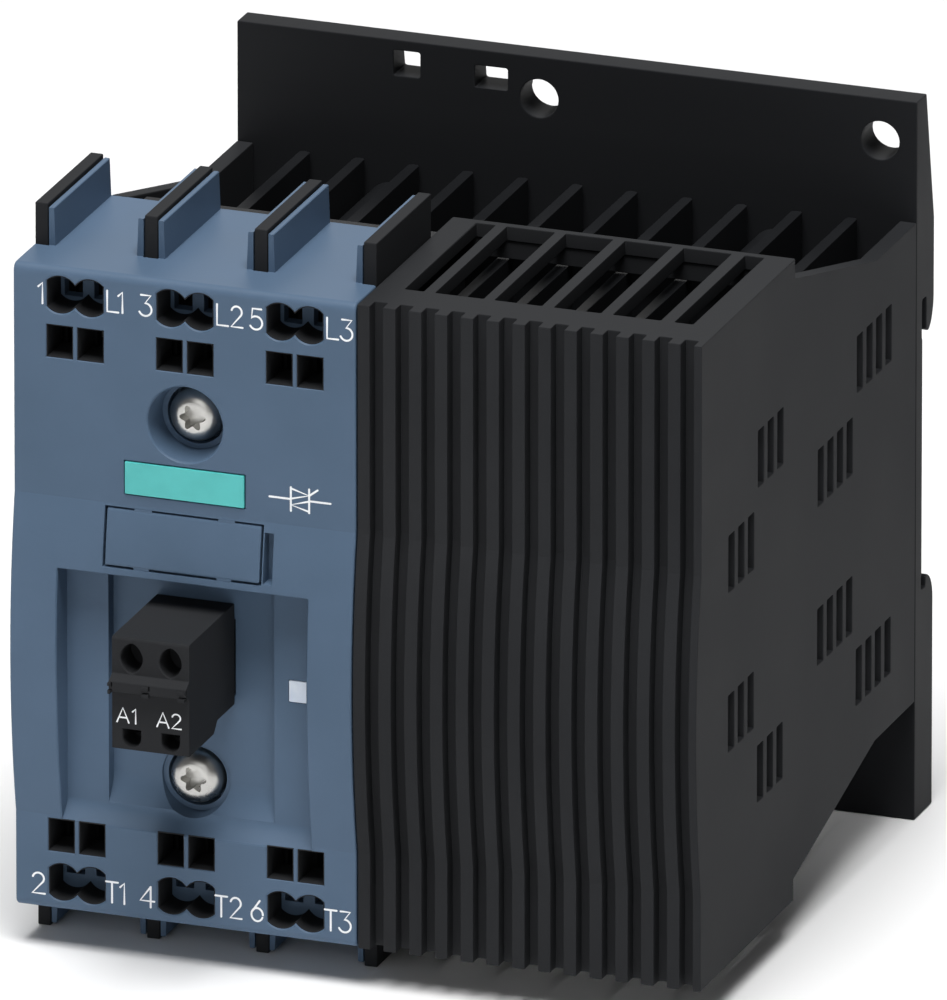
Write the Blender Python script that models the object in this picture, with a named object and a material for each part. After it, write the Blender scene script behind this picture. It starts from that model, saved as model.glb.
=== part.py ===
"""Three-phase solid state relay on a finned heat sink with a rail mounting plate.

Working sizes are millimetres from the left side (X), from the flat front plane
towards the rear (Y) and from the base (Z). The stored frame has its origin in the
middle of the rail seat, +Y to the rear and +Z up.
"""
from math import cos, pi, radians, sin, sqrt

import bmesh
import bpy
from mathutils import Vector

# Overall
WIDTH = 90.0
HEIGHT = 95.0
MODULE_W = 45.0
FRONT_LOW = 5.2
FRONT_HIGH = 89.6

# Bulge of the front
BULGE = 1.8
BULGE_LOW = 17.7
BULGE_HIGH = 59.7
BULGE_STEPS = 10

# Rail seat and plate
SEAT_Y = 81.8
RELIEF_Y = 81.6
PLATE_FRONT = 79.3
PLATE_REAR = 86.0

# Hood
HOOD_REAR = 27.5
HOOD_WALL = 1.6
POLES = (8.1, 22.5, 36.9)
WIRE_Z = 86.07
WIRE_R = 2.47
WIRE_OFFSET = 1.97
FUNNEL_END = 4.9
KEY_LOW = 77.8
KEY_HIGH = 82.1
SCREW_X = 22.5
SCREW_HIGH = 71.1
SCREW_LOW = 23.6
WELL_R = 4.95
FLOOR_Y = 3.9
LEDGE_Y = 2.1

# Clamp springs
PIVOT_Y = 9.0
PIVOT_Z = 78.5
LEG_TILT = 32.0
LEG_LENGTH = 8.7

# Barriers
BARRIERS = (0.95, 15.35, 29.75, 44.05)

# Fin cover
COVER_REAR = 34.2
RIB_PITCH = 3.376
RIB_WIDTH = 1.69
GROOVE = 1.9
WINDOWS = ((48.6, 51.1), (52.6, 58.9), (60.35, 66.5), (68.1, 74.2), (75.8, 82.0), (83.8, 86.2))

# Heat sink
FIN_EDGES = (10.1, 17.4, 24.6, 31.8, 39.0, 46.3, 53.5, 60.8, 68.0, 75.3, 82.5)
FIN_T = 1.7
SINK_FRONT = 35.0
SINK_REAR = 40.0


for old in list(bpy.data.objects):
    bpy.data.objects.remove(old, do_unlink=True)

parts = bpy.data.collections.new("parts")
tools = bpy.data.collections.new("cutters")
marks = bpy.data.collections.new("axes")
for group in (parts, tools, marks):
    bpy.context.scene.collection.children.link(group)


def material(name, colour, roughness, metallic=0.0):
    made = bpy.data.materials.new(name)
    made.use_nodes = True
    shader = made.node_tree.nodes["Principled BSDF"]
    shader.inputs["Base Color"].default_value = (*colour, 1.0)
    shader.inputs["Roughness"].default_value = roughness
    shader.inputs["Metallic"].default_value = metallic
    return made


SLATE = material("slate_polyamide", (0.088, 0.130, 0.205), 0.5)
BLACK = material("black_polyamide", (0.031, 0.032, 0.034), 0.55)
ANODISED = material("black_anodised_aluminium", (0.028, 0.028, 0.030), 0.45, 0.6)
TEAL = material("teal_badge", (0.045, 0.42, 0.42), 0.4)
CLEAR = material("milky_light_guide", (0.62, 0.68, 0.78), 0.3)
STEEL = material("zinc_plated_steel", (0.56, 0.55, 0.54), 0.35, 1.0)
SPRING = material("stainless_spring_steel", (0.45, 0.44, 0.42), 0.3, 1.0)
COPPER = material("tinned_copper", (0.60, 0.58, 0.54), 0.35, 1.0)
BOARD = material("green_circuit_board", (0.02, 0.13, 0.05), 0.45)
EPOXY = material("black_epoxy", (0.02, 0.02, 0.022), 0.4)
CERAMIC = material("white_alumina", (0.75, 0.75, 0.73), 0.5)
SILICON = material("grey_silicon", (0.16, 0.17, 0.19), 0.25, 0.4)
PAD = material("grey_thermal_pad", (0.35, 0.36, 0.38), 0.8)
BLUE_DISC = material("blue_varistor_coating", (0.03, 0.10, 0.32), 0.4)


def place(x, y, z):
    return Vector(((x - WIDTH / 2) / 1000, (y - SEAT_Y) / 1000, (z - HEIGHT / 2) / 1000))


def flip(z):
    return HEIGHT - z


def front_y(z):
    """Front surface at a height: flat, with a shallow arc in the middle."""
    half = (BULGE_HIGH - BULGE_LOW) / 2
    radius = (half * half + BULGE * BULGE) / (2 * BULGE)
    offset = z - (BULGE_LOW + BULGE_HIGH) / 2
    if abs(offset) >= half:
        return 0.0
    return radius - BULGE - sqrt(radius * radius - offset * offset)


def front_line(low, high, inset=0.0):
    """Front surface between two heights, from low to high."""
    step = (BULGE_HIGH - BULGE_LOW) / BULGE_STEPS
    knots = [BULGE_LOW + step * i for i in range(BULGE_STEPS + 1)]
    heights = [low] + [z for z in knots if low + 0.4 < z < high - 0.4] + [high]
    return [(front_y(z) + inset, z) for z in heights]


def prism(bm, outline, axis, low, high):
    """A closed outline extruded along one axis: (Y, Z) for X, (X, Z) for Y, (X, Y) for Z."""
    def spot(a, b, t):
        if axis == "X":
            return place(t, a, b)
        if axis == "Y":
            return place(a, t, b)
        return place(a, b, t)

    bottom = [bm.verts.new(spot(a, b, low)) for a, b in outline]
    top = [bm.verts.new(spot(a, b, high)) for a, b in outline]
    faces = [bm.faces.new(bottom), bm.faces.new(top[::-1])]
    for i in range(len(outline)):
        j = (i + 1) % len(outline)
        faces.append(bm.faces.new((bottom[j], bottom[i], top[i], top[j])))
    bmesh.ops.recalc_face_normals(bm, faces=faces)


def block(bm, xs, ys, zs):
    prism(bm, [(xs[0], zs[0]), (xs[1], zs[0]), (xs[1], zs[1]), (xs[0], zs[1])], "Y", *ys)


def circle(a, b, radius, count=24, start=0.0, end=360.0):
    full = abs(end - start) >= 359.9
    steps = count if full else count + 1
    return [
        (a + radius * cos(radians(start + (end - start) * i / count)),
         b + radius * sin(radians(start + (end - start) * i / count)))
        for i in range(steps)
    ]


def turned(bm, x, z, profile, count=24):
    """A profile of (radius, Y) turned about a line along Y."""
    rings = []
    for radius, y in profile:
        if radius < 1e-6:
            rings.append([bm.verts.new(place(x, y, z))])
        else:
            rings.append([bm.verts.new(place(a, y, b)) for a, b in circle(x, z, radius, count)])
    faces = []
    for first, second in zip(rings, rings[1:]):
        for i in range(count):
            j = (i + 1) % count
            if len(first) == 1:
                faces.append(bm.faces.new((first[0], second[i], second[j])))
            elif len(second) == 1:
                faces.append(bm.faces.new((first[i], second[0], first[j])))
            else:
                faces.append(bm.faces.new((first[i], second[i], second[j], first[j])))
    bmesh.ops.recalc_face_normals(bm, faces=faces)


def made(name, bm, surface=None, smooth=False):
    """A bmesh as an object: a part when it has a material, a cutter when not."""
    mesh = bpy.data.meshes.new(name)
    bm.to_mesh(mesh)
    bm.free()
    obj = bpy.data.objects.new(name, mesh)
    if surface is None:
        tools.objects.link(obj)
        obj.hide_render = True
        obj.display_type = "WIRE"
    else:
        parts.objects.link(obj)
        mesh.materials.append(surface)
        for face in mesh.polygons:
            face.use_smooth = smooth
    return obj


def join(target, tool, operation):
    step = target.modifiers.new(tool.name, "BOOLEAN")
    step.operation = operation
    step.solver = "EXACT"
    step.object = tool


def cut(target, tool):
    join(target, tool, "DIFFERENCE")


def fuse(target, tool):
    join(target, tool, "UNION")


def boxes(name, rows, surface=None):
    bm = bmesh.new()
    for xs, ys, zs in rows:
        block(bm, xs, ys, zs)
    return made(name, bm, surface)


def fused_boxes(name, rows, surface):
    body = boxes(name, rows[:1], surface)
    for number, row in enumerate(rows[1:], 1):
        fuse(body, boxes(f"{name}_add_{number}", [row]))
    return body


def marker(name, x, y, z):
    empty = bpy.data.objects.new(name, None)
    empty.empty_display_size = 0.005
    empty.location = place(x, y, z)
    marks.objects.link(empty)


# Mounting plate with the two rail hooks; the seat stands proud of the relief under each hook
plate_outline = [
    (PLATE_FRONT, 0), (PLATE_FRONT, HEIGHT), (83.0, HEIGHT), (PLATE_REAR, 77.8), (PLATE_REAR, 67.7),
    (85.85, 66.3), (85.45, 65.1), (84.8, 64.0), (83.9, 63.4), (83.1, 64.0),
    (83.1, 68.2), (RELIEF_Y, 68.2), (RELIEF_Y, 63.2), (SEAT_Y, 63.0), (SEAT_Y, 31.8),
    (RELIEF_Y, 31.6), (RELIEF_Y, 29.9), (83.1, 29.9), (83.1, 30.9),
    (83.5, 31.3), (84.3, 31.0), (85.2, 30.2), (85.8, 29.0), (PLATE_REAR, 27.7), (PLATE_REAR, 0),
]
bm = bmesh.new()
prism(bm, plate_outline, "X", 0, WIDTH)
mounting_plate = made("mounting_plate", bm, ANODISED)
bm = bmesh.new()
for x, z in ((40.1, 89.5), (85.1, 89.4), (5.0, 5.5), (50.0, 5.5)):
    prism(bm, circle(x, z, 2.5, 20), "Y", 70, 90)
block(bm, (20.8, 24.3), (70, 90), (90.3, 93.6))
block(bm, (31.6, 35.9), (70, 90), (90.0, 92.9))
cut(mounting_plate, made("plate_holes", bm))
bm = bmesh.new()
for x in (20.75, 71.65):
    for z in (23.0, 73.0):
        prism(bm, circle(x, z, 1.7, 12), "Y", 70, 84.2)
        prism(bm, circle(x, z, 3.4, 16), "Y", 84.2, 90)
cut(mounting_plate, made("plate_screw_holes", bm))

# Heat sink: base slab, rear fins, front fins under the cover, four screw posts
heat_sink = boxes("heat_sink", [((2.6, 87.4), (SINK_FRONT, SINK_REAR), (9.8, 85.2))], ANODISED)
fuse(heat_sink, boxes("rear_fins", [
    ((edge - FIN_T, edge), (SINK_REAR - 1, 79.0), (16.0, 79.0)) for edge in FIN_EDGES
]))
fuse(heat_sink, boxes("front_fins", [
    ((x, x + 1.5), (6.0, SINK_FRONT + 1), (9.9, 85.1)) for x in (51.1, 58.8, 66.55, 74.3, 82.15)
]))
bm = bmesh.new()
for x in (20.75, 71.65):
    for z in (23.0, 73.0):
        prism(bm, circle(x, z, 3.3, 12), "Y", SINK_REAR - 1.1, 78.95)
fuse(heat_sink, made("screw_posts", bm))
bm = bmesh.new()
for x in (20.75, 71.65):
    for z in (23.0, 73.0):
        prism(bm, circle(x, z, 1.75, 12), "Y", 66, 82)
for z in (SCREW_HIGH, SCREW_LOW):
    prism(bm, circle(SCREW_X, z, 2.05, 16), "Y", 30, 38.8)
cut(heat_sink, made("sink_holes", bm))

# Four flat-headed screws that hold the plate to the posts
for number, (x, z) in enumerate(((20.75, 23.0), (20.75, 73.0), (71.65, 23.0), (71.65, 73.0)), 1):
    bm = bmesh.new()
    turned(bm, x, z, [(0, 84.0), (1.0, 84.0), (1.3, 85.7), (3.1, 85.7), (3.1, 84.4),
                      (1.45, 84.4), (1.45, 68.0), (0, 68.0)], 12)
    made(f"plate_screw_{number}", bm, STEEL, True)

# Left side plate of the heat sink
side_outline = [(34.8, 8.15), (64.4, 15.8), (79.0, 15.8), (79.0, 79.2), (64.4, 79.2), (34.8, 86.85)]
bm = bmesh.new()
prism(bm, side_outline, "X", 0, 2.2)
left_side_plate = made("left_side_plate", bm, BLACK)
VENTS = (
    (57.2, 64.2, 4), (42.8, 54.1, 4), (42.8, 33.2, 4), (57.2, 22.9, 4),
    (20.7, 64.2, 3), (10.0, 54.1, 3), (10.0, 33.2, 3), (20.7, 22.9, 3),
)
cut(left_side_plate, boxes("left_vents", [
    ((-5, 5), (y + 3.57 * i, y + 3.57 * i + 2.2), (z, z + 7.4))
    for y, z, count in VENTS[:4] for i in range(count)
]))

# Fin cover: ribbed front, windows above and below, right side wall with vents
bm = bmesh.new()
prism(bm, front_line(FRONT_LOW, FRONT_HIGH) + [(COVER_REAR, FRONT_HIGH), (COVER_REAR, FRONT_LOW)],
      "X", MODULE_W + 0.1, WIDTH)
fin_cover = made("fin_cover", bm, BLACK)
bm = bmesh.new()
prism(bm, [(30.0, 8.0), (34.2, 8.0), (64.4, 15.8), (79.0, 15.8), (79.0, 79.2), (64.4, 79.2),
           (34.2, 87.0), (30.0, 87.0)], "X", 87.8, WIDTH)
fuse(fin_cover, made("right_wall", bm))
cut(fin_cover, boxes("cover_hollow", [((46.8, 87.8), (3.9, 38.0), (7.1, 87.7))]))
bm = bmesh.new()
groove = front_line(1.0, 94.0, GROOVE)
for number in range(13):
    left = 46.73 + number * RIB_PITCH
    prism(bm, [(-6, 1.0)] + groove + [(-6, 94.0)], "X", left, left + RIB_PITCH - RIB_WIDTH)
cut(fin_cover, made("grooves", bm))
cut(fin_cover, boxes("windows", [
    (xs, (7.4, 33.2), zs) for xs in WINDOWS for zs in ((3.0, 9.0), (86.0, 92.0))
]))
cut(fin_cover, boxes("right_vents", [
    ((86.0, 95.0), (y + 3.57 * i, y + 3.57 * i + 2.2), (z, z + 7.4))
    for y, z, count in VENTS for i in range(count)
]))

# Tray behind the hood, around the power module
module_tray = boxes("module_tray", [((0.3, 44.7), (28.0, 34.6), (9.2, 85.8))], BLACK)
cut(module_tray, boxes("tray_window", [((6.0, 39.0), (20, 40), (29.0, 66.0))]))
bm = bmesh.new()
for z in (SCREW_HIGH, SCREW_LOW):
    prism(bm, circle(SCREW_X, z, 2.4, 16), "Y", 20, 40)
cut(module_tray, made("tray_screw_holes", bm))

# Hood: outer shape with rounded front edges, hollow from the rear
rounding = [(1 - sin(radians(a)), 1 - cos(radians(a))) for a in (0, 30, 60, 90)]
outline = [(HOOD_REAR, FRONT_LOW)]
outline += [(y, FRONT_LOW + dz) for y, dz in rounding]
outline += front_line(7.0, 88.0)
outline += [(y, FRONT_HIGH - dz) for y, dz in rounding[::-1]]
outline += [(HOOD_REAR, FRONT_HIGH)]
bm = bmesh.new()
prism(bm, outline, "X", 0, MODULE_W - 0.1)
hood = made("hood", bm, SLATE)

hollow = boxes("hood_hollow", [((HOOD_WALL, 43.3), (1.9, 40.0), (6.8, 88.0))])
keep = [((4.6, 40.5), (0.0, 5.5), (15.2, 52.3))]
for x in POLES:
    keep.append(((x - 4.6, x + 4.6), (0.0, 6.5), (83.0, 90.0)))
    keep.append(((x - 4.6, x + 4.6), (0.0, 6.5), (5.0, 12.0)))
cut(hollow, boxes("hood_keep", keep))
bm = bmesh.new()
for z in (SCREW_HIGH, SCREW_LOW):
    prism(bm, circle(SCREW_X, z, 4.5, 20), "Y", 0.5, 27.2)
keep_wells = made("hood_keep_wells", bm)
well_head = bmesh.new()
for z in (SCREW_HIGH, SCREW_LOW):
    prism(well_head, circle(SCREW_X, z, 6.2, 20), "Y", 0.4, 6.2)
fuse(keep_wells, made("hood_keep_heads", well_head))
cut(hollow, keep_wells)
cut(hood, hollow)

bm = bmesh.new()
flanks = []
for number, x in enumerate(BARRIERS):
    if number > 0:
        flanks.append((x - 1.0, x - 1.85, x - 1.65))
    if number < 3:
        flanks.append((x + 1.0, x + 1.85, x + 1.65))
for inner, foot, tip in flanks:
    for side in (False, True):
        levels = (FRONT_HIGH - 0.8, 94.5)
        if side:
            levels = (flip(levels[0]), flip(levels[1]))
        prism(bm, [(inner, levels[0]), (foot, levels[0]), (tip, levels[1]), (inner, levels[1])],
              "Y", 7.5, 27.1)
fuse(hood, made("hood_flanks", bm))

slots = []
for number, x in enumerate(BARRIERS):
    low = -2.0 if number == 0 else x - 1.0
    high = 47.0 if number == 3 else x + 1.0
    slots.append(((low, high), (7.3, 30.0), (88.2 if number in (0, 3) else 86.0, 96.0)))
    slots.append(((low, high), (7.3, 30.0), (-1.0, 6.8 if number in (0, 3) else 9.0)))
cut(hood, boxes("hood_slots", slots))
cut(hood, boxes("hood_notches", [
    (xs, (21.7, 30.0), zs)
    for xs in ((-2.0, 1.95), (43.05, 47.0)) for zs in ((84.1, 89.0), (6.0, 10.9))
]))

bm = bmesh.new()
for x in POLES:
    for z in (WIRE_Z, flip(WIRE_Z)):
        right = circle(x + WIRE_OFFSET, z, WIRE_R, 12, -141.0, 141.0)
        right = [(min(a, x + 3.75), b) for a, b in right]
        left = [(2 * x - a, b) for a, b in right][::-1]
        prism(bm, right + left, "Y", -3, FUNNEL_END)
cut(hood, made("wire_funnels", bm))
entries = []
for x in POLES:
    for side in (-1.95, 1.95):
        for zs in ((84.3, 86.6), (8.4, 10.7)):
            entries.append(((x + side - 1.2, x + side + 1.2), (4.0, 8.0), zs))
cut(hood, boxes("wire_entries", entries))
keys = []
for x in POLES:
    for side in (-2.02, 2.02):
        for zs in ((KEY_LOW, KEY_HIGH), (flip(KEY_HIGH), flip(KEY_LOW) + 0.05)):
            keys.append(((x + side - 1.75, x + side + 1.75), (-3.0, 4.0), zs))

ramp = [(-5.0, 17.0), (0.0, 17.0), (1.0, 18.1), (LEDGE_Y, 19.6)]
bm = bmesh.new()
prism(bm, ramp + [(LEDGE_Y, 50.7), (-5.0, 50.7)], "X", 6.15, 39.0)
cut(hood, made("recess_ledges", bm))
bm = bmesh.new()
prism(bm, ramp + [(3.05, 21.3), (FLOOR_Y, 23.4), (FLOOR_Y, 50.7), (-5.0, 50.7)], "X", 11.6, 33.4)
cut(hood, made("recess_floor", bm))
cut(hood, boxes("key_holes", keys))

bm = bmesh.new()
for z in (SCREW_HIGH, SCREW_LOW):
    turned(bm, SCREW_X, z, [(0, -4.0), (WELL_R, -4.0), (WELL_R, 0.0), (4.5, 4.3), (3.85, 4.3),
                            (3.85, 6.6), (2.3, 6.6), (2.3, 30.0), (0, 30.0)], 28)
cut(hood, made("screw_wells", bm))

cover_low, cover_high = 51.9, 59.1
bm = bmesh.new()
pocket = front_line(cover_low - 0.2, cover_high + 0.2, 1.25)
prism(bm, [(-5, cover_low - 0.2)] + pocket + [(-5, cover_high + 0.2)], "X", 12.1, 32.8)
block(bm, (33.1, 34.3), (-5, 0.5), (51.9, 58.4))
block(bm, (14.5, 30.45), (-5, 0.55), (61.05, 65.55))
block(bm, (35.3, 38.6), (-5, 10), (35.7, 38.6))
block(bm, (17.4, 27.6), (-5, 10), (34.9, 44.9))
cut(hood, made("front_pockets", bm))

# Label cover, badge and light guide
bm = bmesh.new()
face = front_line(cover_low, cover_high)
back = front_line(cover_low, cover_high, 1.0)
prism(bm, face + back[::-1], "X", 12.3, 32.6)
label_cover = made("label_cover", bm, SLATE)
badge = boxes("badge", [((14.65, 30.3), (-0.2, 0.35), (61.2, 65.4))], TEAL)
light_guide = boxes("light_guide", [((35.5, 38.4), (1.9, 16.9), (35.9, 38.4))], CLEAR)

# Phase barriers: a comb at the top and one at the bottom
for name, turn in (("top_barriers", False), ("bottom_barriers", True)):
    def span(low, high, turn=turn):
        return (flip(high), flip(low)) if turn else (low, high)

    rows = [((0.1, 44.9), (22.0, 27.1), span(84.4, 87.7))]
    for number, x in enumerate(BARRIERS):
        low = 88.4 if number in (0, 3) else 86.9
        rows.append(((x - 0.85, x + 0.85), (7.5, 27.1), span(low, HEIGHT)))
        if number in (0, 3):
            rows.append(((x - 0.8, x + 0.8), (22.1, 27.0), span(87.5, 89.0)))
    fused_boxes(name, rows, BLACK)

# Housing screws with a six-lobe recess, driven through the hood into the heat sink
for name, z in (("upper_screw", SCREW_HIGH), ("lower_screw", SCREW_LOW)):
    bm = bmesh.new()
    turned(bm, SCREW_X, z, [(0, 2.7), (1.95, 2.7), (2.55, 2.95), (3.1, 3.5), (3.45, 4.3),
                            (3.5, 6.3), (2.0, 6.3), (2.0, 38.0), (0, 38.0)], 24)
    screw = made(name, bm, STEEL, True)
    star = []
    for i in range(24):
        reach = 1.45 + 0.3 * cos(6 * 2 * pi * i / 24)
        star.append((SCREW_X + reach * cos(2 * pi * i / 24), z + reach * sin(2 * pi * i / 24)))
    bm = bmesh.new()
    prism(bm, star, "Y", 0, 4.3)
    cut(screw, made(f"{name}_drive", bm))

# Terminal blocks, current bars and clamp springs, top and bottom
for side, turn in (("line", False), ("load", True)):
    def span(low, high, turn=turn):
        return (flip(high), flip(low)) if turn else (low, high)

    carrier = boxes(f"{side}_terminal_block", [((2.0, 43.0), (7.0, 20.0), span(76.3, 86.6))], BLACK)
    channels = [
        ((x + s - 1.65, x + s + 1.65), (5.0, 19.0), span(77.1, 90.0))
        for x in POLES for s in (-1.95, 1.95)
    ]
    cut(carrier, boxes(f"{side}_channels", channels))
    cut(carrier, boxes(f"{side}_barrier_cuts", [
        ((x - 1.2, x + 1.2), (5.0, 22.0), span(85.0, 90.0)) for x in BARRIERS[1:3]
    ]))
    pivot_z = flip(PIVOT_Z) if turn else PIVOT_Z
    bm = bmesh.new()
    prism(bm, circle(PIVOT_Y, pivot_z, 0.6, 12), "X", 2.5, 42.5)
    fuse(carrier, made(f"{side}_pivot_rod", bm))

    for number, x in enumerate(POLES, 1):
        down = (27.25, 28.65) if number == 2 else (x - 2.5, x + 2.5)
        rows = [((x - 3.1, x + 3.1), (8.2, 21.0), span(86.9, 87.6))]
        if number == 2:
            rows.append(((x + 2.0, 28.65), (18.0, 20.9), span(86.95, 87.55)))
        rows.append((down, (20.3, 20.95), span(60.0, 87.5)))
        rows.append(((down[0] + 0.02, down[1] - 0.02), (20.4, 23.7), span(60.02, 60.7)))
        fused_boxes(f"{side}_bar_{number}", rows, COPPER)
        for letter, s in (("a", -1.95), ("b", 1.95)):
            tilt = radians(LEG_TILT)
            inner, outer = 0.68, 1.2
            local = [(LEG_LENGTH, outer), (0.0, outer)]
            local += circle(0, 0, outer, 10, 112, 330)
            local += circle(0, 0, inner, 10, 330, 112)
            local += [(0.0, inner), (LEG_LENGTH, inner)]
            leg = []
            for u, v in local:
                y = PIVOT_Y + u * sin(tilt) - v * cos(tilt)
                z = u * cos(tilt) + v * sin(tilt)
                leg.append((y, pivot_z - z if turn else pivot_z + z))
            bm = bmesh.new()
            prism(bm, leg, "X", x + s - 1.35, x + s + 1.35)
            made(f"{side}_clamp_{number}{letter}", bm, SPRING)
            marker(f"{side}_clamp_{number}{letter}_axis", x + s, PIVOT_Y, pivot_z)

# Control electronics
circuit_board = boxes("circuit_board", [((3.2, 41.8), (18.0, 19.6), (28.7, 66.1))], BOARD)
control_header = boxes("control_header", [((17.6, 27.4), (4.2, 17.7), (35.1, 44.7))], BLACK)
cut(control_header, boxes("header_pin_holes", [
    ((x - 0.65, x + 0.65), (0.0, 20.0), (39.0, 40.8)) for x in (19.95, 25.05)
]))
for number, x in enumerate((19.95, 25.05), 1):
    boxes(f"header_pin_{number}", [((x - 0.5, x + 0.5), (-5.5, 17.7), (39.15, 40.65))], COPPER)
for number, x in enumerate((7.0, 13.5), 1):
    boxes(f"optocoupler_{number}", [((x, x + 4.6), (14.2, 17.75), (54.0, 60.5))], EPOXY)
boxes("control_chip", [((27.0, 34.0), (16.2, 17.75), (46.5, 51.5))], EPOXY)
boxes("status_led", [((35.9, 38.0), (17.15, 17.75), (36.3, 38.0))], CERAMIC)
bm = bmesh.new()
turned(bm, 34.0, 59.5, [(0, 7.0), (3.6, 7.0), (4.0, 7.4), (4.0, 17.75), (0, 17.75)], 20)
made("supply_capacitor", bm, STEEL, True)
for number, x in enumerate((8.5, 37.0), 1):
    bm = bmesh.new()
    prism(bm, circle(11.9, 47.6 if number == 2 else 41.0, 4.6, 20), "X", x - 1.8, x + 1.8)
    made(f"varistor_{number}", bm, BLUE_DISC, False)

# Power module on the heat sink
boxes("thermal_pad", [((8.0, 37.0), (34.7, 34.92), (30.5, 64.5))], PAD)
boxes("module_base_plate", [((7.0, 38.0), (33.2, 34.5), (30.0, 65.0))], COPPER)
boxes("alumina_substrate", [((9.5, 35.5), (32.2, 33.0), (32.5, 62.5))], CERAMIC)
for number, (x, z) in enumerate(((12.0, 36.0), (12.0, 50.0), (26.0, 36.0), (26.0, 50.0)), 1):
    boxes(f"thyristor_die_{number}", [((x, x + 7.0), (31.6, 32.05), (z, z + 9.0))], SILICON)
power_case = boxes("power_case", [((7.2, 37.8), (24.0, 33.0), (30.2, 64.8))], EPOXY)
cut(power_case, boxes("case_hollow", [((8.9, 36.1), (25.6, 40.0), (31.9, 63.1))]))

# Control plug: body with a ridge, pull-off from the header
plug_outline = [(-12.3, 32.4), (-3.6, 32.4), (-2.3, 33.8), (3.75, 33.8), (3.75, 47.1),
                (-12.3, 47.1), (-12.3, 42.3), (-13.5, 41.6), (-13.5, 40.3), (-12.3, 40.0)]
bm = bmesh.new()
prism(bm, plug_outline, "X", 17.4, 27.6)
control_plug = made("control_plug", bm, BLACK)
bm = bmesh.new()
diamond = [(-0.55, 1.95), (0.55, 1.95), (1.1, 1.3), (1.45, 0.3), (1.45, -0.3), (1.0, -1.1),
           (0.55, -1.95), (-0.55, -1.95), (-1.0, -1.1), (-1.45, -0.3), (-1.45, 0.3), (-1.1, 1.3)]
for x in (20.0, 25.1):
    prism(bm, [(x + a, 44.4 + b) for a, b in diamond], "Y", -15, -8.5)
    mouth = [(x - 1.2, 35.1), (x - 1.2, 33.9), (x - 0.85, 33.2), (x - 0.3, 32.8)]
    mouth += [(2 * x - a, b) for a, b in mouth[::-1]]
    prism(bm, mouth, "Y", -15, -8.5)
    block(bm, (x - 0.9, x + 0.9), (-8.6, -5.0), (33.4, 35.0))
    block(bm, (x - 1.3, x + 1.3), (-7.0, 5.0), (38.6, 41.2))
cut(control_plug, made("plug_openings", bm))
for number, x in enumerate((20.0, 25.1), 1):
    contact = boxes(f"plug_contact_{number}", [((x - 1.1, x + 1.0), (-6.5, 3.0), (38.8, 41.0))], COPPER)
    low = x - 0.05 - 0.75
    cut(contact, boxes(f"contact_bore_{number}", [((low, low + 1.5), (-6.0, 5.0), (39.0, 40.8))]))

# Leaf spring in the upper hook, pressing down on the rail
rail_spring = boxes("rail_spring", [((25.0, 65.0), (82.05, 82.85), (65.3, 66.0))], SPRING)

marker("plug_axis", 22.5, -4.3, 39.9)
marker("label_cover_axis", 22.45, -0.7, 55.5)
marker("rail_spring_axis", 45.0, 82.45, 65.6)
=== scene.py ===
import math

import bmesh
import bpy
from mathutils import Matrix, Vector


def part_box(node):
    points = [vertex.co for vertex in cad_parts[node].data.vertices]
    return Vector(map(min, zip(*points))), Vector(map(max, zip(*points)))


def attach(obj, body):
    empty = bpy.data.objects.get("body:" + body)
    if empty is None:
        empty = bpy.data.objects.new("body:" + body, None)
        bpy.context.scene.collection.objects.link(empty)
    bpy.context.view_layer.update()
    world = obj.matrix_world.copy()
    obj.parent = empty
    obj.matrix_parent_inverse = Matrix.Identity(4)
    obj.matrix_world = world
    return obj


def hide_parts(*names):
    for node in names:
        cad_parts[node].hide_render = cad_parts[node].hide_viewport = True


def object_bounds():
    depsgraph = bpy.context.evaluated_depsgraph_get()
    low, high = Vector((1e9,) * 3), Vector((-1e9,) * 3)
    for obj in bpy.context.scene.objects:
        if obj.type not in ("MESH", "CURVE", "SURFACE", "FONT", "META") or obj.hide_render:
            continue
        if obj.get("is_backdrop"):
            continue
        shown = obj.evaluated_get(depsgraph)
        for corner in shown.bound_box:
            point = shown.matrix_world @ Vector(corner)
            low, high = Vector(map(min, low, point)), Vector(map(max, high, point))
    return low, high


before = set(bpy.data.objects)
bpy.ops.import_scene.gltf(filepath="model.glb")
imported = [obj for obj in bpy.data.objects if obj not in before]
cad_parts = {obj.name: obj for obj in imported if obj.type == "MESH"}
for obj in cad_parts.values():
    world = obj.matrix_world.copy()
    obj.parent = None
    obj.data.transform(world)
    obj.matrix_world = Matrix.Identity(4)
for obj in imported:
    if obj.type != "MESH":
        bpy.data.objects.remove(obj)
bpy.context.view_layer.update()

# Mounting plate. An aluminium extrusion with the two rail hooks on its back, cut to length,
# drilled and punched, then black anodised. It carries everything else, through four screws
# into the posts of the heat sink.
MM = 0.001
plate_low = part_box("mounting_plate")[0]
left_edge, foot = plate_low[0], plate_low[2]
BULGE = 1.8
flat_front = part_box("hood")[0][1] + BULGE * MM


def at(x, y, z):
    """A place in the frame: millimetres from the left side, the flat front and the foot."""
    return Vector((left_edge + x * MM, flat_front + y * MM, foot + z * MM))


def tone(hexadecimal):
    """A colour as seen on screen, such as 56677B, as the linear values that a shader takes."""
    parts = [int(hexadecimal[i:i + 2], 16) / 255 for i in (0, 2, 4)]
    return [p / 12.92 if p <= 0.04045 else ((p + 0.055) / 1.055) ** 2.4 for p in parts] + [1.0]


def add(tree, kind, settings=(), links=()):
    """Adds a node to a tree, with its settings by name and its inputs linked by name."""
    node = tree.nodes.new(kind)
    for name, value in dict(settings).items():
        if name in node.inputs:
            node.inputs[name].default_value = value
        else:
            setattr(node, name, value)
    for name, source in dict(links).items():
        tree.links.new(source, node.inputs[name])
    return node


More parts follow.
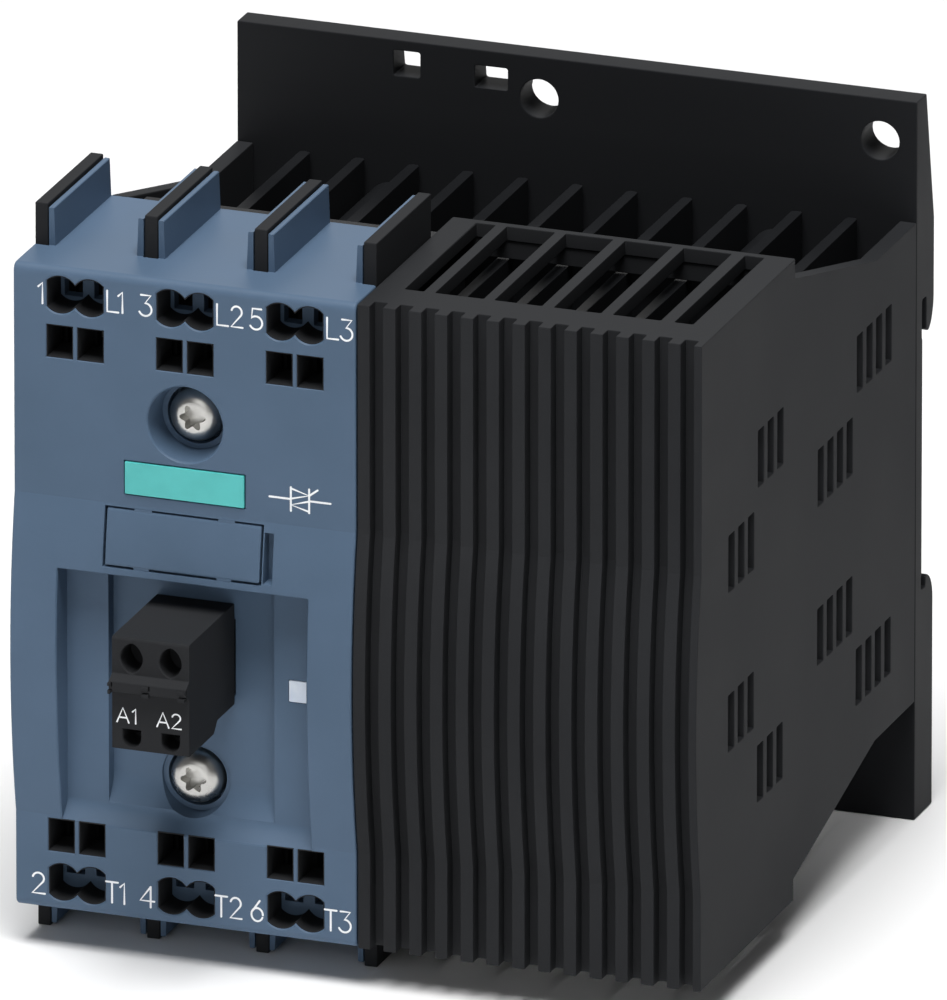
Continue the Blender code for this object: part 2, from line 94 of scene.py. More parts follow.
def surfaced(name, light, dark, patch, rough, bump_size, bump_depth, stretch=(1, 1, 1), **shader):
    """A solid material: two close tones in soft patches, a range of roughness and a fine relief.

    patch and bump_size are the sizes of the patches and of the relief in millimetres.
    """
    made = bpy.data.materials.new(name)
    made.use_nodes = True
    tree = made.node_tree
    tree.nodes.clear()
    spot = add(tree, "ShaderNodeTexCoord")
    scaled = add(tree, "ShaderNodeMapping", {"Scale": stretch}, {"Vector": spot.outputs["Object"]})
    cloud = add(tree, "ShaderNodeTexNoise",
                {"Scale": 1 / (patch * MM), "Detail": 3.0, "Roughness": 0.6},
                {"Vector": scaled.outputs["Vector"]})
    colour = add(tree, "ShaderNodeValToRGB", {}, {"Fac": cloud.outputs[0]})
    colour.color_ramp.elements[0].position = 0.35
    colour.color_ramp.elements[0].color = tone(dark)
    colour.color_ramp.elements[1].position = 0.65
    colour.color_ramp.elements[1].color = tone(light)
    sheen = add(tree, "ShaderNodeMapRange",
                {"From Min": 0.3, "From Max": 0.7, "To Min": rough[0], "To Max": rough[1]},
                {"Value": cloud.outputs[0]})
    grain = add(tree, "ShaderNodeTexNoise",
                {"Scale": 1 / (bump_size * MM), "Detail": 2.0, "Roughness": 0.5},
                {"Vector": scaled.outputs["Vector"]})
    relief = add(tree, "ShaderNodeBump", {"Strength": 0.6, "Distance": bump_depth * MM},
                 {"Height": grain.outputs[0]})
    body = add(tree, "ShaderNodeBsdfPrincipled", shader,
               {"Base Color": colour.outputs["Color"], "Roughness": sheen.outputs["Result"],
                "Normal": relief.outputs["Normal"]})
    add(tree, "ShaderNodeOutputMaterial", {}, {"Surface": body.outputs["BSDF"]})
    return made


# Black anodised aluminium: the dyed oxide skin hides the metal, so it is near black with a weak
# satin sheen and no metal glare, and the extrusion's fine lines run along the plate.
plate_anodised = surfaced("black_anodised_aluminium_plate", "242527", "202123", 22, (0.44, 0.54),
                          0.35, 0.004, (0.06, 1, 1), **{"IOR": 1.65, "Specular IOR Level": 0.03})


def settled(piece):
    """Bakes a piece's modifiers into one plain mesh."""
    bpy.context.view_layer.update()
    graph = bpy.context.evaluated_depsgraph_get()
    mesh = bpy.data.meshes.new_from_object(piece.evaluated_get(graph),
                                           preserve_all_data_layers=True,
                                           depsgraph=graph)
    piece.modifiers.clear()
    if piece.type != "MESH":
        name = piece.name
        bpy.data.objects.remove(piece, do_unlink=True)
        piece = bpy.data.objects.new(name, mesh)
        bpy.context.scene.collection.objects.link(piece)
    piece.data = mesh
    mesh.name = piece.name
    return piece


def new_piece(name, bm):
    """The mesh being worked on as an object of its own, with its faces pointing outwards."""
    bmesh.ops.remove_doubles(bm, verts=bm.verts, dist=0.5e-6)
    bmesh.ops.recalc_face_normals(bm, faces=bm.faces)
    mesh = bpy.data.meshes.new(name)
    bm.to_mesh(mesh)
    bm.free()
    piece = bpy.data.objects.new(name, mesh)
    bpy.context.scene.collection.objects.link(piece)
    return piece


def rounded(piece, edge, steps=2, limit=28):
    """Rounds the edges of a piece that are sharper than a limit in degrees."""
    rounding = piece.modifiers.new("rounded edges", "BEVEL")
    rounding.width = edge * MM
    rounding.segments = steps
    rounding.limit_method = "ANGLE"
    rounding.angle_limit = math.radians(limit)
    rounding.use_clamp_overlap = False
    rounding.miter_outer = "MITER_ARC"
    return settled(piece)


def finished(piece, edge, surface, nodes, body="relay", limit=28, creases=()):
    """Rounds a piece's edges, shades it, gives it its material, ties it to its body, and hides
    the CAD nodes that it replaces.

    creases are heights at which a shallow bend in a front stays a crisp line.
    """
    if edge:
        piece = rounded(piece, edge, limit=limit)
    piece.data.shade_smooth()
    weights = piece.modifiers.new("even shading", "WEIGHTED_NORMAL")
    weights.keep_sharp = True
    piece.data.set_sharp_from_angle(angle=math.radians(32))
    mesh = piece.data
    for height in creases:
        level = at(0, 0, height).z
        for line in mesh.edges:
            if all(abs(mesh.vertices[v].co.z - level) < 0.02 * MM for v in line.vertices):
                line.use_edge_sharp = True
    piece = settled(piece)
    piece.data.materials.clear()
    piece.data.materials.append(surface)
    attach(piece, body)
    if nodes:
        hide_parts(*nodes)
    return piece


def loft(bm, rings):
    """Adds a solid through a row of closed outlines that have the same number of points."""
    rows = [[bm.verts.new(point) for point in ring] for ring in rings]
    faces = [bm.faces.new(rows[0][::-1]), bm.faces.new(rows[-1])]
    for low, high in zip(rows, rows[1:]):
        for i in range(len(low)):
            k = (i + 1) % len(low)
            faces.append(bm.faces.new((low[i], low[k], high[k], high[i])))
    bmesh.ops.recalc_face_normals(bm, faces=faces)


def prism(bm, outline, axis, low, high):
    """Adds a solid from an outline: (y, z) along X, (x, z) along Y, (x, y) along Z."""
    order = {"X": lambda a, b, c: at(c, a, b), "Y": lambda a, b, c: at(a, c, b), "Z": at}[axis]
    loft(bm, [[order(a, b, c) for a, b in outline] for c in (low, high)])


def block(bm, xs, ys, zs):
    """Adds a box between two places on each axis."""
    prism(bm, [(xs[0], zs[0]), (xs[1], zs[0]), (xs[1], zs[1]), (xs[0], zs[1])], "Y", *ys)


def round_outline(a, b, radius, count):
    """Points round a circle."""
    turns = [2 * math.pi * i / count for i in range(count)]
    return [(a + radius * math.cos(t), b + radius * math.sin(t)) for t in turns]


def carved(piece, cutter, operation="DIFFERENCE"):
    """Cuts a piece with another, which is used up."""
    step = piece.modifiers.new("cut", "BOOLEAN")
    step.operation = operation
    step.solver = "EXACT"
    step.object = cutter
    piece = settled(piece)
    bpy.data.objects.remove(cutter, do_unlink=True)
    return piece


PLATE_SCREWS = [(x, z) for x in (20.75, 71.65) for z in (23.0, 73.0)]
bm = bmesh.new()
prism(bm, [(79.3, 0), (79.3, 95), (83, 95), (86, 77.8), (86, 67.7), (85.95, 66.9), (85.8, 66.1),
           (85.45, 65.1), (85.15, 64.45), (84.8, 64.0), (84.35, 63.6), (83.9, 63.4), (83.1, 64.0),
           (83.1, 68.2), (81.6, 68.2), (81.6, 63.2), (81.8, 63.0), (81.8, 31.8), (81.6, 31.6),
           (81.6, 29.9), (83.1, 29.9), (83.1, 30.9), (83.3, 31.2), (83.6, 31.3), (84.3, 31.0),
           (84.8, 30.65), (85.2, 30.2), (85.6, 29.55), (85.85, 28.8), (85.97, 28.2), (86, 27.7),
           (86, 0)], "X", 0, 90)
plate = new_piece("rail_mounting_plate", bm)
bm = bmesh.new()
for x, z in ((40.1, 89.5), (85.1, 89.4), (5.0, 5.5), (50.0, 5.5)):
    prism(bm, round_outline(x, z, 2.5, 48), "Y", 70, 90)
block(bm, (20.8, 24.3), (70, 90), (90.3, 93.6))
block(bm, (31.6, 35.9), (70, 90), (90.0, 92.9))
for x, z in PLATE_SCREWS:
    loft(bm, [[at(a, y, b) for a, b in round_outline(x, z, radius, 48)]
              for radius, y in ((1.7, 70), (1.7, 84.2), (3.4, 84.21), (3.4, 90))])
plate = carved(plate, new_piece("plate_openings", bm))
finished(plate, 0.22, plate_anodised, ["mounting_plate"])

# Heat sink. Black anodised aluminium: a slab behind the power module with a row of eleven deep
# fins to the rear and five front fins under the ribbed cover. The fins are extruded, so each
# has a slight taper, a rounded tip and a fillet at its root.
# The same dyed oxide skin, with the extrusion's fine lines running up the fins. Its tone is darker
# than the plate's as painted shade, so the fins and slab seen through the cover's windows look
# shadowed.
sink_anodised_painted_shade = surfaced("black_anodised_aluminium_fins", "1C1D1F", "18191B", 15, (0.42, 0.52), 0.4,
                         0.004, (1, 1, 0.05), **{"IOR": 1.65, "Specular IOR Level": 0.08})


def row_tree():
    """Geometry Nodes that repeat one piece in a straight row."""
    tree = bpy.data.node_groups.new("row_of_pieces", "GeometryNodeTree")
    for name, kind in (("Piece", "Geometry"), ("Count", "Int"), ("Step", "Vector"),
                       ("Surface", "Material")):
        tree.interface.new_socket(name, in_out="INPUT", socket_type=f"NodeSocket{kind}")
    tree.interface.new_socket("Row", in_out="OUTPUT", socket_type="NodeSocketGeometry")
    given = add(tree, "NodeGroupInput").outputs
    line = add(tree, "GeometryNodeMeshLine", {}, {"Count": given["Count"], "Offset": given["Step"]})
    copies = add(tree, "GeometryNodeInstanceOnPoints", {},
                 {"Points": line.outputs["Mesh"], "Instance": given["Piece"]})
    real = add(tree, "GeometryNodeRealizeInstances", {}, {"Geometry": copies.outputs["Instances"]})
    coated = add(tree, "GeometryNodeSetMaterial", {},
                 {"Geometry": real.outputs["Geometry"], "Material": given["Surface"]})
    add(tree, "NodeGroupOutput", {}, {"Row": coated.outputs["Geometry"]})
    return tree


def grown(piece, tree, **given):
    """Runs a tree on a piece with its named inputs and keeps the result as a plain mesh."""
    step = piece.modifiers.new(tree.name, "NODES")
    step.node_group = tree
    for socket in tree.interface.items_tree:
        if socket.in_out == "INPUT" and socket.name in given:
            step[socket.identifier] = given[socket.name]
    return settled(piece)


def fin_outline(left, thick, root, tip):
    """The outline of one fin: a fillet at the root, a slight taper and a rounded tip."""
    middle = left + thick / 2
    half = thick / 2
    way = 1 if tip > root else -1
    side = [(half + 0.7, root), (half + 0.25, root + 0.2 * way), (half + 0.05, root + 0.8 * way),
            (half - 0.12, tip - 0.55 * way), (half - 0.2, tip - 0.25 * way),
            (half - 0.42, tip - 0.06 * way),
            (half - 0.65, tip)]
    return [(middle + x, y) for x, y in side] + [(middle - x, y) for x, y in side[::-1]]


ROW = row_tree()
REAR_FINS, REAR_PITCH = 11, 7.24
FRONT_FINS, FRONT_PITCH = 5, 7.76
bm = bmesh.new()
prism(bm, fin_outline(8.4, 1.7, 39.9, 79.0), "Z", 16.0, 79.0)
rear_fins = grown(new_piece("rear_fins", bm), ROW, Count=REAR_FINS, Step=(REAR_PITCH * MM, 0, 0),
                  Surface=sink_anodised_painted_shade)
bm = bmesh.new()
prism(bm, fin_outline(51.1, 1.5, 35.1, 6.0), "Z", 9.9, 85.1)
front_fins = grown(new_piece("front_fins", bm), ROW, Count=FRONT_FINS,
                   Step=(FRONT_PITCH * MM, 0, 0), Surface=sink_anodised_painted_shade)
bm = bmesh.new()
block(bm, (2.6, 87.4), (35.0, 40.0), (9.8, 85.2))
for x, z in PLATE_SCREWS:
    prism(bm, round_outline(x, z, 3.3, 32), "Y", 39.9, 78.95)
slab = new_piece("sink_slab", bm)


def joined(name, *pieces):
    """Several meshes as one piece."""
    bm = bmesh.new()
    for piece in pieces:
        bm.from_mesh(piece.data)
        bpy.data.objects.remove(piece, do_unlink=True)
    mesh = bpy.data.meshes.new(name)
    bm.to_mesh(mesh)
    bm.free()
    piece = bpy.data.objects.new(name, mesh)
    bpy.context.scene.collection.objects.link(piece)
    return piece


sink = joined("finned_heat_sink", slab, rear_fins, front_fins)
finished(sink, 0.12, sink_anodised_painted_shade, ["heat_sink"], limit=50)

# Plate screws. Four flat-headed steel screws, bright zinc plated, with a cross recess, driven
# from behind through the mounting plate into the posts of the heat sink.
# Bright zinc plating: a pale, slightly cloudy metal that mirrors the lights softly.
zinc = surfaced("bright_zinc_plated_steel", "C9C8C4", "B4B3B0", 6, (0.24, 0.38), 0.5, 0.003,
                Metallic=1.0)


def turned(bm, x, z, profile, count):
    """Adds a profile of (radius, y) turned round a line along y."""
    rings = []
    for radius, y in profile:
        if radius == 0:
            rings.append([bm.verts.new(at(x, y, z))])
        else:
            rings.append([bm.verts.new(at(a, y, b)) for a, b in round_outline(x, z, radius, count)])
    for low, high in zip(rings, rings[1:]):
        for i in range(count):
            k = (i + 1) % count
            if len(low) == 1:
                bm.faces.new((low[0], high[i], high[k]))
            elif len(high) == 1:
                bm.faces.new((low[k], low[i], high[0]))
            else:
                bm.faces.new((low[k], low[i], high[i], high[k]))


def places_tree():
    """Geometry Nodes that set one piece at each point of a mesh."""
    tree = bpy.data.node_groups.new("piece_at_each_place", "GeometryNodeTree")
    for name, kind in (("Places", "Geometry"), ("Piece", "Object"), ("Surface", "Material")):
        tree.interface.new_socket(name, in_out="INPUT", socket_type=f"NodeSocket{kind}")
    tree.interface.new_socket("Pieces", in_out="OUTPUT", socket_type="NodeSocketGeometry")
    given = add(tree, "NodeGroupInput").outputs
    one = add(tree, "GeometryNodeObjectInfo", {}, {"Object": given["Piece"]})
    copies = add(tree, "GeometryNodeInstanceOnPoints", {},
                 {"Points": given["Places"], "Instance": one.outputs["Geometry"]})
    real = add(tree, "GeometryNodeRealizeInstances", {}, {"Geometry": copies.outputs["Instances"]})
    coated = add(tree, "GeometryNodeSetMaterial", {},
                 {"Geometry": real.outputs["Geometry"], "Material": given["Surface"]})
    add(tree, "NodeGroupOutput", {}, {"Pieces": coated.outputs["Geometry"]})
    return tree


def at_each(name, piece, spots, surface):
    """Copies of a piece made at the frame's origin corner, one at each (x, z)."""
    mesh = bpy.data.meshes.new(name)
    mesh.from_pydata([at(x, 0, z) - at(0, 0, 0) for x, z in spots], [], [])
    holder = bpy.data.objects.new(name, mesh)
    bpy.context.scene.collection.objects.link(holder)
    holder = grown(holder, PLACES, Piece=piece, Surface=surface)
    bpy.data.objects.remove(piece, do_unlink=True)
    return holder


PLACES = places_tree()
bm = bmesh.new()
turned(bm, 0, 0, [(0, 85.62), (2.85, 85.66), (3.05, 85.5), (3.1, 84.5), (3.0, 84.4), (1.5, 84.4),
                  (1.45, 84.2), (1.45, 68.4), (1.1, 68.0),
                  (0, 68.0)], 48)
plate_screw = new_piece("plate_screw", bm)
bm = bmesh.new()
block(bm, (-1.5, 1.5), (84.9, 87.0), (-0.28, 0.28))
cross_a = new_piece("cross_a", bm)
bm = bmesh.new()
block(bm, (-0.28, 0.28), (84.9, 87.0), (-1.5, 1.5))
plate_screw = carved(carved(plate_screw, cross_a), new_piece("cross_b", bm))
plate_screws = at_each("plate_screws", plate_screw, PLATE_SCREWS, zinc)
finished(plate_screws, 0.08, zinc, [f"plate_screw_{n}" for n in (1, 2, 3, 4)])

# Left side plate. Black glass-filled polyamide, moulded, with four groups of upright vents. It
# closes the side of the heat sink behind the hood and clips to the slab.
# Glass-filled black polyamide: charcoal more than black, and its fine texture keeps it dull.
black_polyamide = surfaced("moulded_black_polyamide", "2B2C2E", "27282A", 26, (0.56, 0.66), 0.45,
                           0.012, **{"IOR": 1.53, "Specular IOR Level": 0.05})
VENT_PITCH = 3.57
VENTS = ((57.2, 64.2, 4), (42.8, 54.1, 4), (42.8, 33.2, 4), (57.2, 22.9, 4),
         (20.7, 64.2, 3), (10.0, 54.1, 3), (10.0, 33.2, 3), (20.7, 22.9, 3))


def with_vents(piece, groups, xs):
    """Cuts groups of upright vents through a side wall, each group a row of equal slots."""
    for y, z, count in groups:
        bm = bmesh.new()
        block(bm, xs, (y, y + 2.2), (z, z + 7.4))
        row = grown(new_piece("vents", bm), ROW, Count=count, Step=(0, VENT_PITCH * MM, 0),
                    Surface=black_polyamide)
        piece = carved(piece, row)
    return piece


bm = bmesh.new()
prism(bm, [(34.63, 8.1), (64.4, 15.8), (79.27, 15.8), (79.27, 79.2), (64.4, 79.2), (34.63, 86.9)],
      "X", 0, 2.2)
side_plate = with_vents(new_piece("vented_side_plate", bm), VENTS[:4], (-3, 5))
finished(side_plate, 0.2, black_polyamide, ["left_side_plate"])

# Fin cover. Black polyamide, moulded in one piece: thirteen upright ribs over a front that swells
# a little in the middle, windows above and below for the air with a lip behind them, and a long
# vented right wall.
RIBS = 13
RIB_PITCH = 3.376
RIB_WIDTH = 1.69
BULGE_LOW, BULGE_HIGH = 17.7, 59.7


def front_y(z):
    """The front surface at a height: flat, with a shallow arc in the middle."""
    half = (BULGE_HIGH - BULGE_LOW) / 2
    radius = (half * half + BULGE * BULGE) / (2 * BULGE)
    offset = z - (BULGE_LOW + BULGE_HIGH) / 2
    if abs(offset) >= half:
        return 0.0
    return radius - BULGE - math.sqrt(radius * radius - offset * offset)


def front_line(low, high, inset=0.0, steps=28):
    """The front surface between two heights as (y, z), from low to high."""
    step = (BULGE_HIGH - BULGE_LOW) / steps
    knots = [BULGE_LOW + step * i for i in range(steps + 1)]
    heights = [low] + [z for z in knots if low + 0.3 < z < high - 0.3] + [high]
    return [(front_y(z) + inset, z) for z in heights]


bm = bmesh.new()
prism(bm, front_line(5.2, 89.6) + [(34.2, 89.6), (34.2, 5.2)], "X", 45.1, 90.0)
cover = new_piece("ribbed_fin_cover", bm)
bm = bmesh.new()
prism(bm, [(30.0, 8.0), (34.2, 8.0), (64.4, 15.8), (79.27, 15.8), (79.27, 79.2), (64.4, 79.2),
           (34.2, 87.0),
           (30.0, 87.0)], "X", 87.8, 90.0)
cover = carved(cover, new_piece("right_wall", bm), "UNION")
bm = bmesh.new()
prism(bm, [(3.9, 7.1), (33.3, 7.1), (33.3, 9.7), (38.0, 9.7), (38.0, 85.3), (33.3, 85.3),
           (33.3, 87.7), (3.9, 87.7)],
      "X", 46.8, 87.8)
cover = carved(cover, new_piece("hollow", bm))
bm = bmesh.new()
prism(bm, [(-6, 1.0)] + front_line(1.0, 94.0, 1.9) + [(-6, 94.0)], "X", 46.73,
      46.73 + RIB_PITCH - RIB_WIDTH)
grooves = grown(new_piece("grooves", bm), ROW, Count=RIBS, Step=(RIB_PITCH * MM, 0, 0),
                Surface=black_polyamide)
cover = carved(cover, grooves)
bm = bmesh.new()
for low, high in ((48.6, 51.1), (52.6, 58.9), (60.35, 66.5), (68.1, 74.2), (75.8, 82.0),
                  (83.8, 86.2)):
    block(bm, (low, high), (7.4, 33.2), (3.0, 9.0))
windows = grown(new_piece("windows", bm), ROW, Count=2, Step=(0, 0, 83.0 * MM),
                Surface=black_polyamide)
cover = carved(cover, windows)
cover = with_vents(cover, VENTS, (86.0, 95.0))
finished(cover, 0.16, black_polyamide, ["fin_cover"],
         creases=(BULGE_LOW, BULGE_HIGH))

# Tray. Black polyamide, moulded: it closes the hood from behind round the power module and keeps
# the terminal blocks off the heat sink.


def from_cad(node, name):
    """A copy of a CAD node with its loose triangles joined and its flat faces made whole."""
    bm = bmesh.new()
    bm.from_mesh(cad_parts[node].data)
    bmesh.ops.remove_doubles(bm, verts=bm.verts, dist=1e-6)
    bmesh.ops.dissolve_limit(bm, angle_limit=math.radians(0.3), verts=bm.verts, edges=bm.edges)
    return new_piece(name, bm)


finished(from_cad("module_tray", "module_tray_moulding"), 0.25, black_polyamide,
         ["module_tray"])

# Power module. Thyristor dies soldered on a white alumina substrate and a tinned copper base
# plate, in a black epoxy case, pressed on the slab through a grey thermal pad.


def resurfaced(surface, *nodes):
    """Gives CAD nodes that keep their shape their real material."""
    for node in nodes:
        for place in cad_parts[node].material_slots:
            place.material = surface


# Tin over copper: a soft, faintly warm silver. Moulded epoxy: dense black with a low sheen.
tinned = surfaced("tinned_copper", "C4C0B8", "B2AEA5", 5, (0.26, 0.42), 0.6, 0.004, Metallic=1.0)
epoxy = surfaced("moulded_black_epoxy", "1E1E20", "19191B", 8, (0.35, 0.5), 0.25, 0.008, IOR=1.55)
# Fired alumina: flat off-white. Polished silicon: dark blue-grey, nearly a mirror. Filled
# silicone: a dull grey rubber.
alumina = surfaced("fired_white_alumina", "E6E5E0", "DEDCD5", 4, (0.4, 0.55), 0.12, 0.006, IOR=1.76)
silicon = surfaced("polished_silicon", "5A5E66", "4C5058", 3, (0.12, 0.22), 0.4, 0.001,
                   Metallic=1.0)
gap_pad = surfaced("silicone_thermal_pad", "9A9CA0", "8E9094", 3, (0.75, 0.85), 0.2, 0.02, IOR=1.41)
resurfaced(tinned, "module_base_plate")
resurfaced(epoxy, "power_case")
resurfaced(alumina, "alumina_substrate")
resurfaced(silicon, *[f"thyristor_die_{n}" for n in (1, 2, 3, 4)])
resurfaced(gap_pad, "thermal_pad")

# Control board. A green glass-epoxy board with its optocouplers, control chip, supply capacitor,
# varistors and status lamp, and the header that the control plug is pushed on.
# Solder mask: a glossy green lacquer. Dipped epoxy: a thick, uneven, glossy blue coat.
solder_mask = surfaced("green_solder_mask", "1F6B3A", "165A2F", 1.2, (0.28, 0.4), 0.5, 0.01,
                       IOR=1.5)
dipped_blue = surfaced("blue_dipped_epoxy", "2453A8", "1C468F", 4, (0.2, 0.34), 0.8, 0.02, IOR=1.55)
resurfaced(solder_mask, "circuit_board")
resurfaced(epoxy, "optocoupler_1", "optocoupler_2", "control_chip")
resurfaced(alumina, "status_led")
resurfaced(zinc, "supply_capacitor")
resurfaced(dipped_blue, "varistor_1", "varistor_2")
resurfaced(black_polyamide, "control_header")
resurfaced(tinned, "header_pin_1", "header_pin_2")

# Terminals. Two black carriers, each with three tinned copper current bars and six stainless
# clamp springs on a rod. A screwdriver in the square openings presses a spring open.
# Rolled spring steel: a clean silver with fine lines left by the rolls.
spring_steel = surfaced("rolled_spring_steel", "B9B7B2", "A5A39E", 4, (0.2, 0.32), 0.4, 0.003,
                        (0.1, 1, 1), Metallic=1.0)
for side in ("line", "load"):
    resurfaced(black_polyamide, f"{side}_terminal_block")
    for number in (1, 2, 3):
        resurfaced(tinned, f"{side}_bar_{number}")
        resurfaced(spring_steel, f"{side}_clamp_{number}a", f"{side}_clamp_{number}b")

# Hood. Slate-blue polyamide, moulded in one piece with a fine spark-eroded texture: wire openings
# in pairs, square screwdriver openings, two screw wells and a stepped recess round the plug.
# Slate-blue polyamide: a muted blue-grey whose eroded texture spreads highlights to a soft sheen.
slate_polyamide = surfaced("moulded_slate_polyamide", "51657C", "4B5F75", 30, (0.46, 0.56), 0.45,
                           0.012, **{"IOR": 1.53, "Specular IOR Level": 0.2})
HEIGHT = 95.0
POLES = 3
POLE_PITCH = 14.4
FIRST_POLE = 8.1
BARRIERS = (0.95, 15.35, 29.75, 44.05)
CHAMFER = 0.16
rounding = [(1 - math.sin(math.radians(a)), 1 - math.cos(math.radians(a)))
            for a in range(0, 91, 15)]
bm = bmesh.new()
prism(bm, [(27.5, 5.2)] + [(y, 5.2 + dz) for y, dz in rounding] + front_line(7.0, 88.0, 0.0, 56)
      + [(y, 89.6 - dz) for y, dz in rounding[::-1]] + [(27.5, 89.6)], "X", 0, 44.9)
hood = new_piece("terminal_hood", bm)
hood = rounded(hood, 0.3, 3, 50)


def spread(outline, by):
    """An outline moved outwards by a distance, for the wider mouth of an opening."""
    area = sum(a[0] * b[1] - b[0] * a[1] for a, b in zip(outline, outline[1:] + outline[:1]))
    wide = []
    for i, point in enumerate(outline):
        before, after = outline[i - 1], outline[(i + 1) % len(outline)]
        sides = []
        for start, end in ((before, point), (point, after)):
            length = math.hypot(end[0] - start[0], end[1] - start[1])
            sides.append(((end[1] - start[1]) / length, (start[0] - end[0]) / length))
        across = (sides[0][0] + sides[1][0], sides[0][1] + sides[1][1])
        reach = by * 2 / (across[0] ** 2 + across[1] ** 2) * (1 if area > 0 else -1)
        wide.append((point[0] + across[0] * reach, point[1] + across[1] * reach))
    return wide


def opening(bm, outline, front, deep, chamfer=CHAMFER, wide=None):
    """Adds a cutter for an opening in a front face, with a chamfered mouth."""
    wide = wide or spread(outline, chamfer)
    loft(bm, [[at(a, y, b) for a, b in ring] for ring, y in
              ((wide, front - 4), (wide, front), (outline, front + chamfer), (outline, deep))])


def rectangle(xs, zs):
    """Corners of an upright rectangle."""
    return [(xs[0], zs[0]), (xs[1], zs[0]), (xs[1], zs[1]), (xs[0], zs[1])]


# The inside: a wall of 1.6 mm all round, thicker round the openings and with a boss to each screw.
bm = bmesh.new()
block(bm, (1.6, 43.3), (1.9, 40.0), (6.8, 88.0))
hollow = new_piece("hood_hollow", bm)
bm = bmesh.new()
block(bm, (4.6, 40.5), (0.0, 5.5), (15.2, 52.3))
hollow = carved(hollow, new_piece("recess_walls", bm))
bm = bmesh.new()
block(bm, (FIRST_POLE - 4.6, FIRST_POLE + 4.6), (0.0, 6.5), (83.0, 90.0))
block(bm, (FIRST_POLE - 4.6, FIRST_POLE + 4.6), (0.0, 6.5), (5.0, 12.0))
funnel_walls = grown(new_piece("funnel_walls", bm), ROW, Count=POLES, Step=(POLE_PITCH * MM, 0, 0),
                     Surface=slate_polyamide)
hollow = carved(hollow, funnel_walls)
SCREW_WELLS = ((22.5, 71.1), (22.5, 23.6))
bm = bmesh.new()
for x, z in SCREW_WELLS:
    loft(bm, [[at(a, y, b) for a, b in round_outline(x, z, radius, 64)]
              for radius, y in ((6.2, 0.4), (6.2, 6.2), (4.5, 6.21), (4.5, 27.2))])
hollow = carved(hollow, new_piece("screw_bosses", bm))
hood = carved(hood, hollow)

# Flanks stand up beside each phase barrier, and the barriers' slots run between them.
bm = bmesh.new()
for number, x in enumerate(BARRIERS):
    for way in (-1, 1):
        if (number, way) in ((0, -1), (3, 1)):
            continue
        flank = [(x + way * a, z) for a, z in ((1.0, 88.8), (1.85, 88.8), (1.85, 89.6),
                                               (1.66, 94.4), (1.56, 94.5),
                                               (1.0, 94.5))]
        prism(bm, flank, "Y", 7.5, 27.1)
        prism(bm, [(a, HEIGHT - z) for a, z in flank], "Y", 7.5, 27.1)
hood = carved(hood, new_piece("flanks", bm), "UNION")
bm = bmesh.new()
for number, x in enumerate(BARRIERS):
    low = -2.0 if number == 0 else x - 1.0
    high = 47.0 if number == 3 else x + 1.0
    end = number in (0, 3)
    block(bm, (low, high), (7.3, 30.0), (88.2 if end else 86.0, 96.0))
    block(bm, (low, high), (7.3, 30.0), (-1.0, 6.8 if end else 9.0))
hood = carved(hood, new_piece("barrier_slots", bm))
bm = bmesh.new()
for xs in ((-2.0, 1.95), (43.05, 47.0)):
    for zs in ((84.1, 89.0), (6.0, 10.9)):
        block(bm, xs, (21.7, 30.0), zs)
hood = carved(hood, new_piece("strip_notches", bm))

# Wire openings: each is a pair of round funnels side by side, with a square entry at the bottom of
# each funnel. Above or below it a pair of square openings takes the screwdriver.
WIRE_Z = 86.07


def funnel(grow=0.0):
    """Two circles side by side, cut off flat at the outer sides."""
    radius, half_width, offset = 2.47 + grow, 3.75 + grow, 1.97
    meet = 179.2 - math.degrees(math.acos(offset / radius))
    flat = math.degrees(math.acos((half_width - offset) / radius))
    turns = [flat + (meet - flat) * i / 14 for i in range(15)]
    right = [(offset + radius * math.cos(math.radians(t)), radius * math.sin(math.radians(t)))
             for t in [-t for t in turns[::-1]] + turns]
    return right + [(-a, b) for a, b in right[::-1]]


def at_poles(bm, name):
    """The same cutter at each of the three poles."""
    return grown(new_piece(name, bm), ROW, Count=POLES, Step=(POLE_PITCH * MM, 0, 0),
                 Surface=slate_polyamide)


bm = bmesh.new()
for z in (WIRE_Z, HEIGHT - WIRE_Z):
    opening(bm, [(FIRST_POLE + a, z + b) for a, b in funnel()], 0.0, 4.9,
            wide=[(FIRST_POLE + a, z + b) for a, b in funnel(CHAMFER)])
hood = carved(hood, at_poles(bm, "wire_funnels"))
bm = bmesh.new()
for side in (-1.95, 1.95):
    for zs in ((84.3, 86.6), (8.4, 10.7)):
        block(bm, (FIRST_POLE + side - 1.2, FIRST_POLE + side + 1.2), (4.0, 8.0), zs)
hood = carved(hood, at_poles(bm, "wire_entries"))
BLADE_X, BLADE_HALF = 2.02, 1.75
BLADE_ZS = ((77.8, 82.1), (12.9, 17.25))
bm = bmesh.new()
for side in (-BLADE_X, BLADE_X):
    for zs in BLADE_ZS:
        xs = (FIRST_POLE + side - BLADE_HALF, FIRST_POLE + side + BLADE_HALF)
        opening(bm, rectangle(xs, zs), 0.0, 6.0, 0.1)
hood = carved(hood, at_poles(bm, "screwdriver_openings"))

# Screw wells: a chamfered mouth, a slight taper, a ledge, and a seat for the screw's head.
bm = bmesh.new()
for x, z in SCREW_WELLS:
    loft(bm, [[at(a, y, b) for a, b in round_outline(x, z, radius, 96)] for radius, y in
              ((5.12, -4), (5.12, 0), (4.93, 0.18), (4.5, 4.3), (3.85, 4.31), (3.85, 6.6),
               (2.3, 6.61), (2.3, 30))])
hood = carved(hood, new_piece("screw_wells", bm))

# Recess round the plug: a ledge on each side of a deeper floor, which rises to the front below in
# a soft ramp. The mouth follows the swelling of the front.
LEDGE_Y, FLOOR_Y = 2.1, 3.9
RECESS_TOP = 50.7


